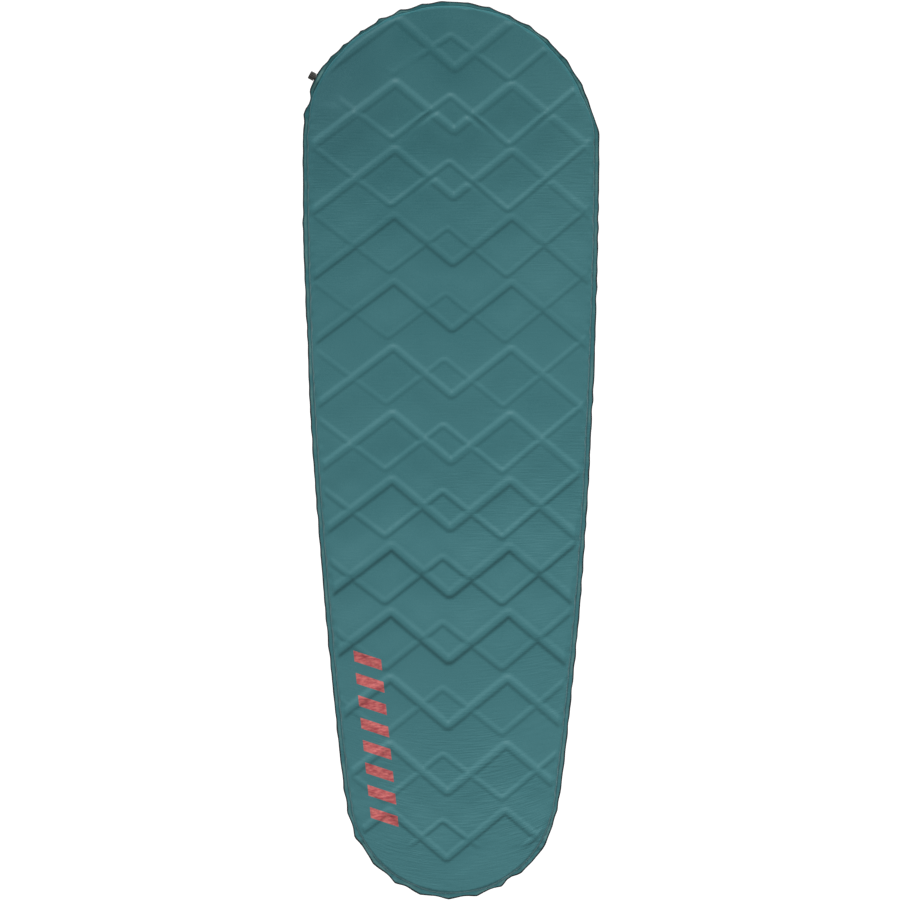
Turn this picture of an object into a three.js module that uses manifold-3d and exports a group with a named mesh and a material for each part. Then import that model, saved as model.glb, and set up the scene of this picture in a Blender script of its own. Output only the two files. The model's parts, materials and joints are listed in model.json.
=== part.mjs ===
// Self-inflating sleeping pad: two welded cover sheets round a foam core, with a twist valve.
// Millimetres. The origin is on the ground under the middle of the pad, +Y to the head, +Z up.
import * as THREE from 'three';
import { mergeVertices } from 'three/addons/utils/BufferGeometryUtils.js';
import Module from 'manifold-3d';

const wasm = await Module();
wasm.setup();

// Pad body
const LENGTH = 1830;
const THICKNESS = 38;
const HALF_WIDTH = 302.5; // at the shoulders
const TAPER_START = 655; // Y where the sides begin to narrow
const TAPER_DROP = 110; // how far each side has moved in at the foot end
const TAPER_POWER = 2;
const HEAD_CAP = { length: 284, power: 1.9 };
const FOOT_CAP = { length: 211, power: 2.4 };
// X of the pad's middle line at a few heights, [Y, X]: the pad lies a little unevenly
const LEAN = [[-300, 3], [200, 0], [640, 0], [760, -8], [800, -8], [LENGTH / 2, -4]];
const MID = THICKNESS / 2; // height of the weld

// Cover sheets
const SHEET = 1.1; // coated fabric with its bonded film
const GAP = 0.3; // clearance between neighbouring pieces
const FLANGE = 9; // width of the weld round the edge
const WALL = 6; // plan width of the rounded side inside the weld
const OUTLINE_DIVISIONS = 1000; // for measuring along the outline
const STATIONS_PER_QUARTER = 21; // from the middle of a side to the head or the foot
const STATION_STEP = 6; // mm, where the sheets open round the valve

// Foam core: a zigzag and its mirror image cross in every row of air channels
const FOAM_INSET = 11;
const FOAM_WALL = 5;
const CHANNEL_WIDTH = 14;
const CHANNEL_DEPTH = 6;
const CHANNEL_ROWS = 13;
const CHANNEL_PITCH = 135;
const CHANNEL_FIRST_Y = 879; // outer crests of the row nearest the head
const CHANNEL_LEG = 119; // across the pad from crest to valley
const CHANNEL_SLOPE = 0.79;
const CHANNEL_OFFSET = 112; // how far the mirrored zigzag's outer valleys lie below the crests
const CHANNEL_MARGIN = 30; // foam left whole round the edge
const NOTCH = { width: 24, depth: 36 }; // cut in the foam for the valve inlet

// Valve, along its own axis: 0 at the edge of the weld, positive outwards
const VALVE_Y = 758;
const THREAD_LEAD = 4;
const OPEN_ANGLE = 270; // degrees from closed to open
const ROUND = 24; // sides of a turned piece
const WELD_BASE = { inner: -8.5, outer: -0.5, half: 23, period: 52, height: 6.3 };
const COVER_BULGE = { height: 6.8, spread: 30 };
const STEM = { radius: 5.25, collar: 6, collarEnd: 2, end: 12.2, inlet: -20 };
const BORE = { radius: 3.5, inletRadius: 2.9, step: 0.7 };
const RIB = { inner: 5, outer: 6.2, width: 1.4, z: 10.4, angle: 60 };
const CAP = { radius: 8.5, bore: 5.6, start: 2.5, end: 15, roof: 13.2, mouth: 2.85 };
const GLAND = { radius: 6.95, start: 3.3, end: 5 };
const SLOT = { outer: 6.65, width: 2.3, margin: 12 };
const GRIP = { count: 12, radius: 1.2, centre: 9, end: 13.6 };
const PLUG = { pin: 1.6, neck: 1.7, head: 2.4, start: 1, spiderEnd: 4, ringInner: 2.5, ringOuter: 3.2 };
const SPOKE = { count: 3, width: 0.9, inner: 1.2, outer: 2.9 };

// ---- Solids and meshes ----

// The same surface with each shared corner held once.
function welded(geometry) {
  const plain = geometry.clone();
  plain.deleteAttribute('normal');
  plain.deleteAttribute('uv');
  return mergeVertices(plain, 1e-4);
}

// Drops the faces of no area that a lathe makes where its profile meets the axis.
function withoutSlivers(geometry) {
  const index = [];
  for (let i = 0; i < geometry.index.count; i += 3) {
    const [a, b, c] = [0, 1, 2].map((k) => geometry.index.getX(i + k));
    if (a !== b && b !== c && c !== a) index.push(a, b, c);
  }
  return geometry.setIndex(index);
}

function toSolid(geometry) {
  const surface = welded(geometry);
  return new wasm.Manifold(new wasm.Mesh({
    numProp: 3,
    vertProperties: new Float32Array(surface.attributes.position.array),
    triVerts: new Uint32Array(surface.index.array),
  }));
}

function toGeometry(solid) {
  const mesh = solid.getMesh();
  const geometry = new THREE.BufferGeometry();
  geometry.setAttribute('position', new THREE.BufferAttribute(new Float32Array(mesh.vertProperties), 3));
  geometry.setIndex(new THREE.BufferAttribute(new Uint32Array(mesh.triVerts), 1));
  geometry.computeVertexNormals();
  return geometry;
}

function signedVolume(geometry) {
  const corners = [new THREE.Vector3(), new THREE.Vector3(), new THREE.Vector3()];
  let total = 0;
  for (let i = 0; i < geometry.index.count; i += 3) {
    corners.forEach((p, k) => p.fromBufferAttribute(geometry.attributes.position, geometry.index.getX(i + k)));
    total += corners[0].dot(corners[1].cross(corners[2]));
  }
  return total;
}

// Turns every face over where a surface was built inside out.
function facingOut(geometry) {
  if (signedVolume(geometry) < 0) {
    const index = Array.from(geometry.index.array);
    for (let i = 0; i < index.length; i += 3) {
      [index[i], index[i + 1]] = [index[i + 1], index[i]];
    }
    geometry.setIndex(index);
  }
  return geometry;
}

// Joins rings of equal length into one closed surface, with the first and last rings filled in.
function loft(rings, fill) {
  const count = rings[0].length;
  const last = (rings.length - 1) * count;
  const index = [];
  for (let start = 0; start < last; start += count) {
    for (let i = 0; i < count; i++) {
      const a = start + i;
      const b = start + (i + 1) % count;
      index.push(a, b, b + count, a, b + count, a + count);
    }
  }
  for (const [a, b, c] of fill) {
    index.push(c, b, a, last + a, last + b, last + c);
  }
  const geometry = new THREE.BufferGeometry();
  const positions = rings.flat().flatMap((p) => [p.x, p.y, p.z]);
  geometry.setAttribute('position', new THREE.Float32BufferAttribute(positions, 3));
  geometry.setIndex(index);
  return facingOut(geometry);
}

// A piece turned about Z from a closed profile of [radius, z] points.
function turned(profile) {
  const points = [...profile, profile[0]].map(([radius, z]) => new THREE.Vector2(radius, z));
  const geometry = new THREE.LatheGeometry(points, ROUND).rotateX(Math.PI / 2);
  return toSolid(facingOut(withoutSlivers(welded(geometry))));
}

// A turned piece that is solid to the axis, from its outer [radius, z] points.
function turnedSolid(profile) {
  const [first, last] = [profile[0], profile[profile.length - 1]];
  return turned([[0, first[1]], ...profile, [0, last[1]]]);
}

function boxSolid(width, depth, height, x, y, z) {
  return toSolid(new THREE.BoxGeometry(width, depth, height).translate(x, y, z));
}

// A square band wound as a right-hand helix about Z; z is its height at angle 0, angles in degrees.
function helicalBand(inner, outer, width, z, from, to) {
  const steps = Math.ceil((to - from) / 15);
  const rings = [];
  for (let k = 0; k <= steps; k++) {
    const degrees = from + (to - from) * k / steps;
    const angle = THREE.MathUtils.degToRad(degrees);
    const centre = z + THREAD_LEAD * degrees / 360;
    const corners = [[inner, -1], [outer, -1], [outer, 1], [inner, 1]];
    rings.push(corners.map(([radius, side]) => new THREE.Vector3(
      radius * Math.cos(angle), radius * Math.sin(angle), centre + side * width / 2)));
  }
  return toSolid(loft(rings, [[0, 1, 2], [0, 2, 3]]));
}

function meshOf(name, solid, colour, roughness) {
  const material = new THREE.MeshStandardMaterial({ color: colour, roughness, metalness: 0 });
  const mesh = new THREE.Mesh(toGeometry(solid), material);
  mesh.name = name;
  return mesh;
}

// ---- Outline of the pad ----

function capNarrowing(past, cap) {
  const share = Math.min(1, Math.max(0, past / cap.length));
  return Math.sqrt(1 - share ** cap.power);
}

function halfWidth(y) {
  const down = Math.max(0, TAPER_START - y) / (TAPER_START + LENGTH / 2);
  const side = HALF_WIDTH - TAPER_DROP * down ** TAPER_POWER;
  const head = capNarrowing(y - LENGTH / 2 + HEAD_CAP.length, HEAD_CAP);
  const foot = capNarrowing(-y - LENGTH / 2 + FOOT_CAP.length, FOOT_CAP);
  return side * head * foot;
}

function lean(y) {
  let x = LEAN[0][1];
  for (let i = 1; i < LEAN.length; i++) {
    const [[fromY, fromX], [toY, toX]] = [LEAN[i - 1], LEAN[i]];
    x += (toX - fromX) * THREE.MathUtils.smoothstep(y, fromY, toY);
  }
  return x;
}

// The welded edge, anticlockwise seen from above, from the middle of the right side.
class PadOutline extends THREE.Curve {
  getPoint(t, target = new THREE.Vector3()) {
    const angle = 2 * Math.PI * t;
    const y = LENGTH / 2 * Math.sin(angle);
    return target.set(Math.sign(Math.cos(angle)) * halfWidth(y) + lean(y), y, MID);
  }
}

const outline = new PadOutline();
outline.arcLengthDivisions = OUTLINE_DIVISIONS;
const valveT = 0.5 - Math.asin(VALVE_Y / (LENGTH / 2)) / (2 * Math.PI);
const outlineSpeed = outline.getPoint(valveT + 1e-4).distanceTo(outline.getPoint(valveT - 1e-4)) / 2e-4;

function outwardAt(t) {
  const tangent = outline.getTangent(t);
  return new THREE.Vector3(tangent.y, -tangent.x, 0).normalize();
}

// Even steps along each quarter of the outline, so that both ends have a station.
function evenSteps() {
  const lengths = outline.getLengths();
  const total = lengths[OUTLINE_DIVISIONS];
  const steps = [];
  for (let quarter = 0; quarter < 4; quarter++) {
    const start = lengths[quarter * OUTLINE_DIVISIONS / 4];
    const end = lengths[(quarter + 1) * OUTLINE_DIVISIONS / 4];
    for (let i = 0; i < STATIONS_PER_QUARTER; i++) {
      steps.push(outline.getUtoTmapping((start + (end - start) * i / STATIONS_PER_QUARTER) / total));
    }
  }
  return steps;
}

// The stations are closer where the sheets open round the valve.
function makeStations() {
  const reach = COVER_BULGE.spread + STATION_STEP;
  const far = evenSteps().filter((t) => Math.abs(t - valveT) * outlineSpeed > reach + STATION_STEP);
  const near = [];
  for (let distance = -reach; distance <= reach; distance += STATION_STEP) {
    near.push(valveT + distance / outlineSpeed);
  }
  return [...far, ...near].sort((a, b) => a - b).map((t) => ({
    point: outline.getPoint(t),
    outward: outwardAt(t),
    fromValve: (t - valveT) * outlineSpeed,
  }));
}

const stations = makeStations();

function stationRing(inset, heightAt) {
  return stations.map((station) => {
    const place = station.point.clone().addScaledVector(station.outward, -inset);
    return place.setZ(heightAt(station));
  });
}

function fillOf(ring) {
  return THREE.ShapeUtils.triangulateShape(ring.map((p) => new THREE.Vector2(p.x, p.y)), []);
}

// ---- Cover sheets and foam ----

function bulgeAt(station) {
  const share = Math.min(1, Math.abs(station.fromValve) / COVER_BULGE.spread);
  return COVER_BULGE.height * Math.cos(share * Math.PI / 2) ** 2;
}

// The rounded side of a sheet, from the weld up to the flat, as [inset, height, share of the bulge].
function wallProfile(inset, width, low, high) {
  return [0, 30, 60, 90].map((degrees) => {
    const angle = THREE.MathUtils.degToRad(degrees);
    const climb = degrees === 90 ? 1 : Math.sin(angle);
    return [inset + width * (1 - Math.cos(angle)), low + (high - low) * climb, 1 - climb];
  });
}

// One sheet; side is 1 for the top and -1 for the bottom.
function coverSolid(side) {
  const under = GAP / 2;
  const profile = [
    ...wallProfile(FLANGE + SHEET, WALL - SHEET, under, MID - SHEET).reverse(),
    [0, under, 1],
    [0, under + SHEET, 1],
    ...wallProfile(FLANGE, WALL, under + SHEET, MID),
  ];
  const rings = profile.map(([inset, height, share]) =>
    stationRing(inset, (station) => MID + side * (height + share * bulgeAt(station))));
  return toSolid(loft(rings, fillOf(rings[0])));
}

function slabSolid(inset, wall, half) {
  const rings = [-90, -60, -30, 0, 30, 60, 90].map((degrees) => {
    const angle = THREE.MathUtils.degToRad(degrees);
    return stationRing(inset + wall * (1 - Math.cos(angle)), () => MID + half * Math.sin(angle));
  });
  return toSolid(loft(rings, fillOf(rings[0])));
}

// One zigzag band; crest is its height in Y at the peaks, and flip mirrors it.
function zigzagBand(crest, flip, top) {
  const reach = HALF_WIDTH;
  const across = [-reach, -CHANNEL_LEG, 0, CHANNEL_LEG, reach];
  const centre = across.map((x) => {
    const drop = CHANNEL_SLOPE * Math.abs(Math.abs(x) - CHANNEL_LEG);
    return flip ? crest - CHANNEL_OFFSET + drop : crest - drop;
  });
  const half = CHANNEL_WIDTH / 2 * Math.hypot(1, CHANNEL_SLOPE);
  const points = [
    ...across.map((x, i) => new THREE.Vector2(x, centre[i] + half)),
    ...across.map((x, i) => new THREE.Vector2(x, centre[i] - half)).reverse(),
  ];
  const bar = new THREE.ExtrudeGeometry(new THREE.Shape(points), { depth: 2 * CHANNEL_DEPTH, bevelEnabled: false });
  return toSolid(bar.translate(0, 0, top - CHANNEL_DEPTH));
}

function channelSolid(top) {
  let channels = zigzagBand(CHANNEL_FIRST_Y, false, top);
  for (let row = 0; row < CHANNEL_ROWS; row++) {
    const crest = CHANNEL_FIRST_Y - row * CHANNEL_PITCH;
    channels = channels.add(zigzagBand(crest, false, top)).add(zigzagBand(crest, true, top));
  }
  const inside = [MID, MID + THICKNESS].map((z) => stationRing(CHANNEL_MARGIN, () => z));
  return channels.intersect(toSolid(loft(inside, fillOf(inside[0]))));
}

function foamSolid(toPad) {
  const half = MID - SHEET - GAP;
  const notch = new THREE.BoxGeometry(NOTCH.width, 2 * THICKNESS, 2 * NOTCH.depth).applyMatrix4(toPad);
  return slabSolid(FOAM_INSET, FOAM_WALL, half)
    .subtract(channelSolid(MID + half))
    .subtract(toSolid(notch));
}

// ---- Valve pieces, turned about Z, which points out of the pad; Y is up ----

function weldBaseSolid() {
  const across = [];
  for (let x = -WELD_BASE.half; x <= WELD_BASE.half; x += WELD_BASE.half / 6) across.push(x);
  const heightAt = (x) => WELD_BASE.height * Math.cos(Math.PI * x / WELD_BASE.period) ** 2;
  const shape = new THREE.Shape([
    ...across.map((x) => new THREE.Vector2(x, -heightAt(x))),
    ...across.map((x) => new THREE.Vector2(x, heightAt(x))).reverse(),
  ]);
  const depth = WELD_BASE.outer - WELD_BASE.inner;
  return toSolid(new THREE.ExtrudeGeometry(shape, { depth, bevelEnabled: false }).translate(0, 0, WELD_BASE.inner));
}

function stemSolid() {
  const body = turnedSolid([
    [4, STEM.inlet], [4.8, STEM.inlet + 3.5], [4.2, STEM.inlet + 3.6],
    [4.8, STEM.inlet + 7], [4.2, STEM.inlet + 7.1], [4.2, -6],
    [STEM.collar, -4], [STEM.collar, STEM.collarEnd], [STEM.radius, STEM.collarEnd + 0.1],
    [STEM.radius, STEM.end - 0.4], [STEM.radius - 0.4, STEM.end],
  ]);
  const bore = turnedSolid([
    [BORE.inletRadius, STEM.inlet - 1], [BORE.inletRadius, BORE.step],
    [BORE.radius, BORE.step + 0.05], [BORE.radius, STEM.end + 1],
  ]);
  const castellation = boxSolid(2.5, 12, 4, 0, 0, STEM.inlet);
  const rib = helicalBand(RIB.inner, RIB.outer, RIB.width, RIB.z, 0, RIB.angle);
  return body.add(weldBaseSolid()).add(rib).subtract(bore).subtract(castellation);
}

function plugSolid() {
  const pin = turnedSolid([
    [PLUG.pin, PLUG.start], [PLUG.pin, 12.6], [PLUG.head, 12.7], [PLUG.head, 13.2], [PLUG.neck, 13.25],
    [PLUG.neck, 14.15], [PLUG.head, 14.2], [PLUG.head - 0.2, 14.8],
  ]);
  let plug = pin.add(turned([
    [PLUG.ringInner, PLUG.start], [PLUG.ringOuter, PLUG.start],
    [PLUG.ringOuter, PLUG.spiderEnd], [PLUG.ringInner, PLUG.spiderEnd],
  ]));
  for (let i = 0; i < SPOKE.count; i++) {
    const length = SPOKE.outer - SPOKE.inner;
    const spoke = new THREE.BoxGeometry(length, SPOKE.width, PLUG.spiderEnd - PLUG.start)
      .translate((SPOKE.outer + SPOKE.inner) / 2, 0, (PLUG.spiderEnd + PLUG.start) / 2)
      .rotateZ(2 * Math.PI * i / SPOKE.count);
    plug = plug.add(toSolid(spoke));
  }
  return plug;
}

function capSolid() {
  let cap = turned([
    [CAP.bore, CAP.start], [CAP.radius - 0.5, CAP.start], [CAP.radius, CAP.start + 0.5],
    [CAP.radius, GRIP.end], [CAP.radius - 1, CAP.end], [CAP.mouth + 0.6, CAP.end],
    [CAP.mouth, CAP.end - 0.5], [CAP.mouth, CAP.roof], [CAP.bore, CAP.roof],
    [CAP.bore, GLAND.end], [GLAND.radius, GLAND.end], [GLAND.radius, GLAND.start], [CAP.bore, GLAND.start],
  ]);
  cap = cap.subtract(helicalBand(RIB.inner, SLOT.outer, SLOT.width, RIB.z,
    -OPEN_ANGLE - SLOT.margin, RIB.angle + SLOT.margin));
  for (let i = 0; i < GRIP.count; i++) {
    const flute = new THREE.CylinderGeometry(GRIP.radius, GRIP.radius, GRIP.end - CAP.start + 2, 8)
      .rotateX(Math.PI / 2)
      .translate(GRIP.centre, 0, (GRIP.end + CAP.start) / 2 - 1)
      .rotateZ(2 * Math.PI * i / GRIP.count);
    cap = cap.subtract(toSolid(flute));
  }
  return cap;
}

function ringSolid(radius, section, z, sides) {
  return toSolid(new THREE.TorusGeometry(radius, section, sides, ROUND).translate(0, 0, z));
}

// ---- Assembly ----

const outward = outwardAt(valveT);
const up = new THREE.Vector3(0, 0, 1);
const valve = new THREE.Group();
const toPad = new THREE.Matrix4().makeBasis(up.clone().cross(outward), up, outward)
  .setPosition(outline.getPoint(valveT));
toPad.decompose(valve.position, valve.quaternion, valve.scale);
valve.add(
  meshOf('valve_stem', stemSolid(), 0x24241f, 0.5),
  meshOf('valve_plug', plugSolid(), 0x2b2b26, 0.5),
  meshOf('plug_o_ring', ringSolid(2.2, 0.4, 13.7, 8), 0x161616, 0.7),
  meshOf('cap_o_ring', ringSolid(6.1, 0.6, (GLAND.start + GLAND.end) / 2, 8), 0x161616, 0.7),
  meshOf('valve_cap', capSolid(), 0x1d1d18, 0.45),
);

const pad = new THREE.Group();
pad.add(
  meshOf('top_cover', coverSolid(1), 0x41747a, 0.8),
  meshOf('bottom_cover', coverSolid(-1), 0x2a2d2f, 0.85),
  meshOf('foam_core', foamSolid(toPad), 0xd9cfb4, 0.95),
  valve,
);

export default pad;
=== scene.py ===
import json
import math

import bmesh
import bpy
import numpy as np
from mathutils import Matrix, Vector

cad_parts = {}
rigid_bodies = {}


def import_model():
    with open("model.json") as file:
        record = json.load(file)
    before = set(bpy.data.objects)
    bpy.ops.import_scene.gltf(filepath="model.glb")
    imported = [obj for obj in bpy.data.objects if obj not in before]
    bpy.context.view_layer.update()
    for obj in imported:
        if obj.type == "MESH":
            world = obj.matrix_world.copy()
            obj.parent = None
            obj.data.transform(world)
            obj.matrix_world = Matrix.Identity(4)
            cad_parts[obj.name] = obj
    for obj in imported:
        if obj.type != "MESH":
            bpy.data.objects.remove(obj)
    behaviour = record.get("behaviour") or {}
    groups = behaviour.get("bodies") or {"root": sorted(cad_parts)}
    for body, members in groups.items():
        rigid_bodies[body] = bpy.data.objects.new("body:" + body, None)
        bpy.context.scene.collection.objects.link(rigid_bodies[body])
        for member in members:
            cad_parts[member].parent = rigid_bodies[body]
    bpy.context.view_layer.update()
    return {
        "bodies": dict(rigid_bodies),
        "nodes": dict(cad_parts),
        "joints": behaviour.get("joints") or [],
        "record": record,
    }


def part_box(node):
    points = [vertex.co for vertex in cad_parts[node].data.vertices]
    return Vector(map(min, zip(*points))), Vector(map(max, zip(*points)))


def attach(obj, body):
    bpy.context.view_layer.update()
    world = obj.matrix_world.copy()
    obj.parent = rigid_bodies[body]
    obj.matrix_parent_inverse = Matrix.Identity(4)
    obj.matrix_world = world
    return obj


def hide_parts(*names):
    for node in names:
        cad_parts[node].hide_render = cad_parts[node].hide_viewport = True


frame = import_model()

# ---- Sizes, from the frame where it has them ----
PAD_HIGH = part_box("top_cover")[1]
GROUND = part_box("bottom_cover")[0].z
HALF_LENGTH = PAD_HIGH.y
SHOULDER = PAD_HIGH.x
TOP = PAD_HIGH.z
MID = (TOP + GROUND) / 2
MM = 0.001

TAPER_START = 655 * MM  # Y where the sides begin to narrow
TAPER_DROP = 110 * MM
HEAD_CAP, HEAD_POWER = 284 * MM, 1.9
FOOT_CAP, FOOT_POWER = 211 * MM, 2.4
LEAN = [(-300, 3), (200, 0), (640, 0), (760, -8), (800, -8), (915, -4)]  # (Y, X) in mm
FLANGE = 9 * MM  # width of the weld
RIM = 15 * MM  # from the edge to the flat
SHEET = 0.6 * MM  # thickness of one coated sheet
JOIN = 0.03 * MM  # from the middle of the weld to each sheet
FLAT_DROP = 1.2 * MM  # of the top sheet just inside its rim, below the highest point
ROWS, COLUMNS = 144, 54  # cells of the simulated sheet, about 10 mm each
FINE = 4  # final cells along one of those

ROW_PITCH = 134.9 * MM
FIRST_CREST = 743.6 * MM
LAST_ROW = 11
P_DEPTH = 95.5  # mm, crest to centre valley
Q_PEAK, Q_VALLEY = 22.5, 113  # mm, below the crest
LEFT_SLOPE, RIGHT_SLOPE = 0.755, 0.835
CORNER_ROUND = 6  # mm, of the zigzags' bends
CREST_HALF = 2.5 * MM  # half the width of a ridge's flat crest
Q_SLENDER = 0.7  # size of the second zigzag's ridge beside the first's
OUTER_ARM = (115 * MM, 140 * MM)  # from the middle line: past it, a zigzag runs on to the pad's side
CROSSING_POWER = 6  # how closely crossing ridges follow the higher of the two
CUT_ROWS = (0, 1)  # in these rows the second zigzag cuts the first one's centre valley off
CUT = (6 * MM, 15 * MM)  # gone within the first of the other's line, whole past the second
DIP = (2 * MM, 8 * MM)  # the same for the other crossings, where a ridge only dips
SKIRT = 60 * MM  # how far the slow side of a ridge reaches
CREASE_HEIGHT = 0.1 * MM
CREASE_FREE = (16 * MM, 40 * MM)  # from the edge: no creases or swell before, all of them after

VALVE_Y = 758 * MM
VALVE_SPREAD = 30 * MM
VALVE_BULGE = 6.8 * MM


def ease(low, high, value):
    """0 below low, 1 above high, smooth between."""
    t = np.clip((value - low) / (high - low), 0, 1)
    return t * t * (3 - 2 * t)


# ---- Outline ----

def cap_narrowing(past, length, power):
    return np.sqrt(1 - np.clip(past / length, 0, 1) ** power)


def half_width(y):
    down = np.clip(TAPER_START - y, 0, None) / (TAPER_START + HALF_LENGTH)
    side = SHOULDER - TAPER_DROP * down**2
    head = cap_narrowing(y - HALF_LENGTH + HEAD_CAP, HEAD_CAP, HEAD_POWER)
    foot = cap_narrowing(-y - HALF_LENGTH + FOOT_CAP, FOOT_CAP, FOOT_POWER)
    return side * head * foot


def lean(y):
    """X of the pad's middle line, which isn't quite straight."""
    x = LEAN[0][1]
    for (from_y, from_x), (to_y, to_x) in zip(LEAN, LEAN[1:]):
        x = x + (to_x - from_x) * ease(from_y, to_y, y / MM)
    return x * MM


class Outline:
    """The weld's edge, anticlockwise from the middle of the right side, by distance along it."""

    def __init__(self):
        angle = np.linspace(0, 2 * math.pi, 8001)
        y = HALF_LENGTH * np.sin(angle)
        x = np.sign(np.cos(angle)) * half_width(y) + lean(y)
        self.s = np.concatenate([[0], np.cumsum(np.hypot(np.diff(x), np.diff(y)))])
        self.length = self.s[-1]
        self.x, self.y = x, y
        dx, dy = np.gradient(x, self.s), np.gradient(y, self.s)
        size = np.hypot(dx, dy)
        self.nx, self.ny = dy / size, -dx / size

    def at(self, s):
        """Points and outward normals at distances s."""
        s = np.mod(s, self.length)
        return [np.interp(s, self.s, column) for column in (self.x, self.y, self.nx, self.ny)]

    def facing(self, degrees):
        """Distance at which the edge faces that way."""
        turn = np.unwrap(np.arctan2(self.ny, self.nx))
        return float(np.interp(math.radians(degrees) % (2 * math.pi), turn - turn[0], self.s))

    def left_at(self, y):
        """Distance of the point on the left side at height y."""
        left = self.x < lean(self.y)
        order = np.argsort(self.y[left])
        return float(np.interp(y, self.y[left][order], self.s[left][order]))


outline = Outline()
VALVE_S = outline.left_at(VALVE_Y)


def edge_distance(x, y):
    step = 0.5 * MM
    low, high = np.clip(y - step, -HALF_LENGTH, HALF_LENGTH), np.clip(y + step, -HALF_LENGTH, HALF_LENGTH)
    slope = (half_width(high) - half_width(low)) / np.maximum(high - low, 1e-9)
    return (half_width(y) - np.abs(x - lean(y))) / np.hypot(1, slope)


# ---- Relief of the top: crossing zigzag ridges ----

def smooth_zigzag(knots_x, knots_y):
    """A zigzag with rounded bends, as heights and slopes over a fine line of x."""
    x = np.arange(-330, 331) * MM
    y = np.interp(x, knots_x, knots_y)
    reach = np.arange(-3 * CORNER_ROUND, 3 * CORNER_ROUND + 1)
    kernel = np.exp(-0.5 * (reach / (0.6 * CORNER_ROUND)) ** 2)
    padded = np.pad(y, len(reach) // 2, mode="reflect", reflect_type="odd")
    y = np.convolve(padded, kernel / kernel.sum(), "valid")
    return x, y, np.gradient(y, x)


def zigzag(crest, reach, left, centre, right):
    """Zigzag through three bends, each (x, height above crest) in mm, and on to the pad's sides."""
    turned = 1 if left[1] > centre[1] else -1
    knots = [(-reach, left[1] - turned * LEFT_SLOPE * (left[0] + reach)), left, centre, right,
             (reach, right[1] - turned * RIGHT_SLOPE * (reach - right[0]))]
    return smooth_zigzag([x * MM for x, _ in knots], [crest + height * MM for _, height in knots])


def row_lines(row):
    """The row's two zigzags; both drift left towards the foot, and row -1, at the head, is stretched."""
    crest = FIRST_CREST - row * ROW_PITCH
    first = max(0, -row)
    drift = float(ease(-1, 6, row))
    p = zigzag(crest, 330, (-113 - 1.2 * row, 3), (6.5 - 1.4 * row, -P_DEPTH - 7 * first),
               (125 - 0.12 * row**2 + 12 * first, 0.3 * row - 0.5 + 5 * first))
    q = zigzag(crest, 330, (-120 - 15 * drift, 1.5 - Q_VALLEY),
               (-17 * drift, 0.6 * row - Q_PEAK - 11 * first),
               (119 - 15 * drift, 1.4 * row - 10 - Q_VALLEY))
    return p, q


def above_line(x, y, line):
    """Distance from a zigzag, positive towards the head."""
    fine_x, fine_y, fine_slope = line
    return (y - np.interp(x, fine_x, fine_y)) / np.hypot(1, np.interp(x, fine_x, fine_slope))


def ridge(above, crest_half, rise, drop, head_flank, foot_flank):
    """The ridge itself, whose two sides rise from different levels, and the slope that joins those."""
    off = np.clip(np.abs(above) - crest_half, 0, None)
    flank = np.where(above > 0, head_flank, foot_flank)
    side = np.where(above > 0, rise, drop)
    near = np.cos(np.clip(off / flank, 0, 1) * math.pi / 2) ** 2
    far = np.cos(np.clip(off / SKIRT, 0, 1) * math.pi / 2) ** 2
    return side * near, (max(rise, drop) - side) * far


def below(above, reach):
    """1 just on the foot side of a line, 0 on its head side and past the reach."""
    return ease(-1.5 * MM, 1.5 * MM, -above) * (1 - ease(*reach, -above))


def ridge_size(row):
    """Rise, drop and widths of the flanks of a row's first zigzag, which change from row to row."""
    swing = math.cos(2 * math.pi * (row - 0.1) / 4.8)
    breadth = math.cos(2 * math.pi * (row - 7.5) / 9)
    head_flank, foot_flank = (10.5 + 1.5 * breadth) * MM, (8 + 2 * breadth) * MM
    rise = (0.37 + (0.22 - 0.014 * row) * swing) * head_flank * 2 / math.pi
    drop = (0.48 + 0.018 * row - 0.17 * swing) * foot_flank * 2 / math.pi
    return rise, drop, head_flank, foot_flank


def second_zigzag_share(x, y):
    """How much of the second zigzag there is: none by the valve, the left shoulder and the foot's end."""
    by_valve = np.exp(-(((x + 215 * MM) / (130 * MM)) ** 2 + ((y - 800 * MM) / (85 * MM)) ** 2) ** 2)
    by_shoulder = ease(218 * MM, 240 * MM, -x) * ease(695 * MM, 710 * MM, y)
    arms = 1 + 0.2 * ease(*OUTER_ARM, x) - 0.25 * ease(*OUTER_ARM, -x)
    return ease(-818 * MM, -795 * MM, y) * (1 - by_valve) * arms * (1 - by_shoulder)


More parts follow.
